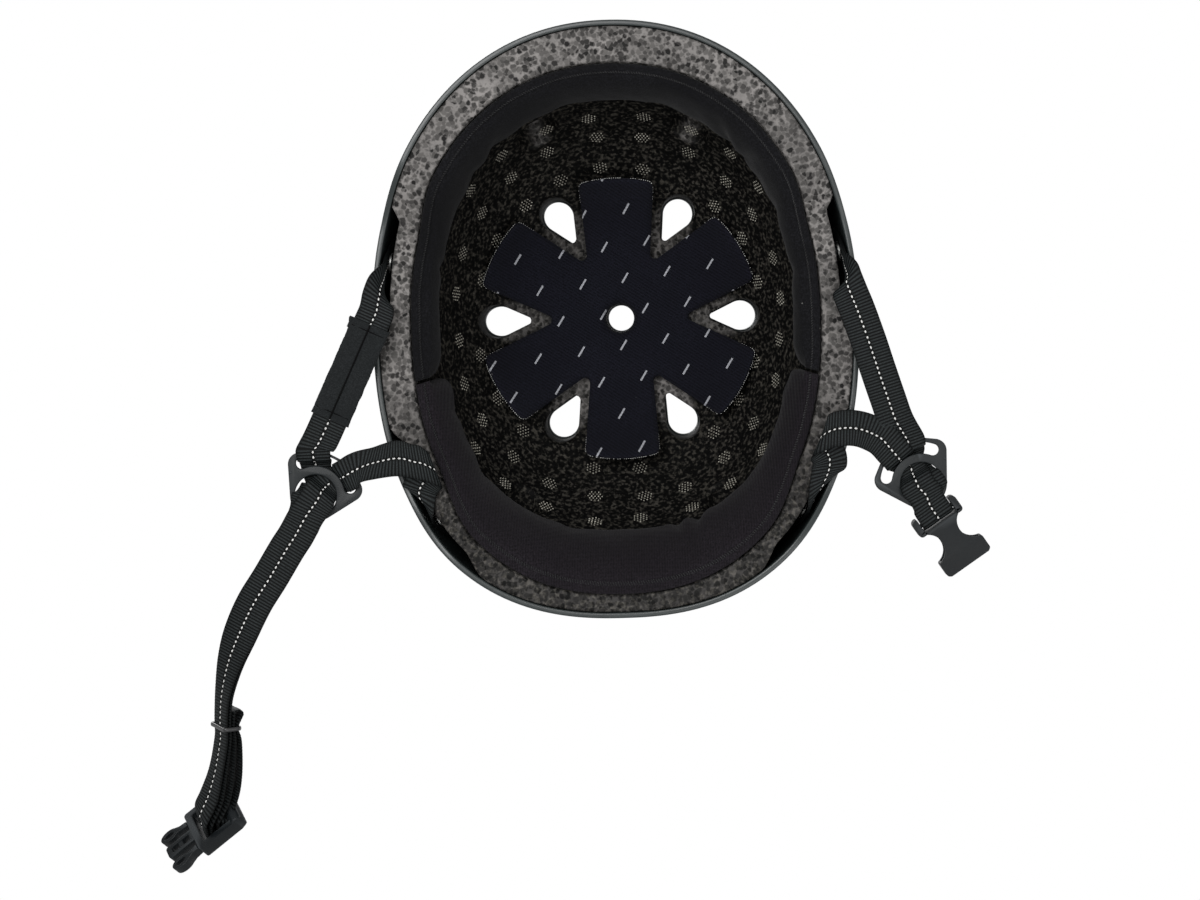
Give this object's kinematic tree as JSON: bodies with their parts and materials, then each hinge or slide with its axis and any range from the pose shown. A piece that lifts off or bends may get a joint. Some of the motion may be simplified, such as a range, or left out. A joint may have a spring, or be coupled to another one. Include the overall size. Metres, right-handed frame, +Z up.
{
  "type": "sport helmet",
  "caption": "Open-face skate and cycling helmet with a vented hard shell, a moulded foam liner, removable comfort pads and a buckled chin harness.",
  "frame": {"origin": "centre of the head opening, on the plane that the rim rests on", "axes": "+X to the wearer's left, +Y to the back of the head, +Z up to the crown"},
  "size_m": [0.3762, 0.376, 0.151],
  "materials": {
    "shell": "satin injection-moulded hard shell",
    "foam": "expanded bead foam",
    "brow_cloth": "short-pile loop cloth over foam",
    "nape_cloth": "fine knit over foam",
    "crown_cloth": "twill over foam",
    "hook_tape": "hook tape",
    "buckle_plastic": "fine-grained moulded plastic",
    "washer_steel": "stamped washer",
    "webbing": "ribbed woven webbing with a light tracer stitch",
    "divider_plastic": "satin moulded plastic",
    "sleeve_cloth": "woven tube",
    "keeper_elastic": "smooth elastic band"
  },
  "bodies": {
    "helmet": {"shell": "shell", "liner": "foam", "front_pad": "brow_cloth", "rear_pad": "nape_cloth", "crown_pad": "crown_cloth", "hook_dots": "hook_tape", "rivets": "buckle_plastic", "washers": "washer_steel", "right_front_root": "webbing", "right_rear_root": "webbing", "left_front_root": "webbing", "left_rear_root": "webbing"},
    "right_harness": {"right_front_strap": "webbing", "right_rear_strap": "webbing", "right_divider": "divider_plastic"},
    "sleeve": {"strap_sleeve": "sleeve_cloth"},
    "chin_strap": {"chin_webbing": "webbing"},
    "keeper": {"keeper_band": "keeper_elastic"},
    "plug": {"plug_frame": "buckle_plastic"},
    "upper_latch": {"upper_latch_arm": "buckle_plastic"},
    "lower_latch": {"lower_latch_arm": "buckle_plastic"},
    "left_harness": {"left_strap": "webbing", "left_divider": "divider_plastic"},
    "socket": {"buckle_socket": "buckle_plastic"}
  },
  "joints": [
    {"name": "right_harness_swing", "type": "hinge", "parent": "helmet", "child": "right_harness", "pos_m": [-0.0995, 0, 0.001], "axis": [-0.1346, -0.9909, 0], "range_deg": [-28, 112]},
    {"name": "left_harness_swing", "type": "hinge", "parent": "helmet", "child": "left_harness", "pos_m": [0.1, 0, 0.001], "axis": [-0.0677, 0.9977, 0], "range_deg": [-28, 112]},
    {"name": "sleeve_slide", "type": "slide", "parent": "right_harness", "child": "sleeve", "axis": [-0.4226, 0.9063, 0], "range_m": [-0.004, 0.004]},
    {"name": "chin_strap_bend", "type": "hinge", "parent": "right_harness", "child": "chin_strap", "pos_m": [-0.14251, 0.08901, 0.0018], "axis": [0.8554, 0.518, 0], "range_deg": [-65, 65]},
    {"name": "keeper_slide", "type": "slide", "parent": "chin_strap", "child": "keeper", "axis": [-0.025, 0.9997, 0], "range_m": [-0.003, 0.004]},
    {"name": "plug_tilt", "type": "hinge", "parent": "chin_strap", "child": "plug", "pos_m": [-0.18838, 0.22276, 0.0133], "axis": [0.4691, 0.499, -0.7286], "range_deg": [-30, 5]},
    {"name": "upper_latch_squeeze", "type": "hinge", "parent": "plug", "child": "upper_latch", "pos_m": [-0.19992, 0.22507, 0.01775], "axis": [-0.3871, -0.6253, -0.6776], "range_deg": [0, 8], "stiffness_Nm_per_rad": 0.2},
    {"name": "lower_latch_squeeze", "type": "hinge", "parent": "plug", "child": "lower_latch", "pos_m": [-0.19288, 0.23256, 0.00682], "axis": [0.3871, 0.6253, 0.6776], "range_deg": [0, 8], "stiffness_Nm_per_rad": 0.2},
    {"name": "socket_tilt", "type": "hinge", "parent": "left_harness", "child": "socket", "pos_m": [0.1407, 0.0913, 0.00305], "axis": [0.832, -0.5548, 0], "range_deg": [-50, 25]}
  ],
  "couplings": [
    {"joint": "upper_latch_squeeze", "follows": "lower_latch_squeeze", "ratio": 1}
  ]
}
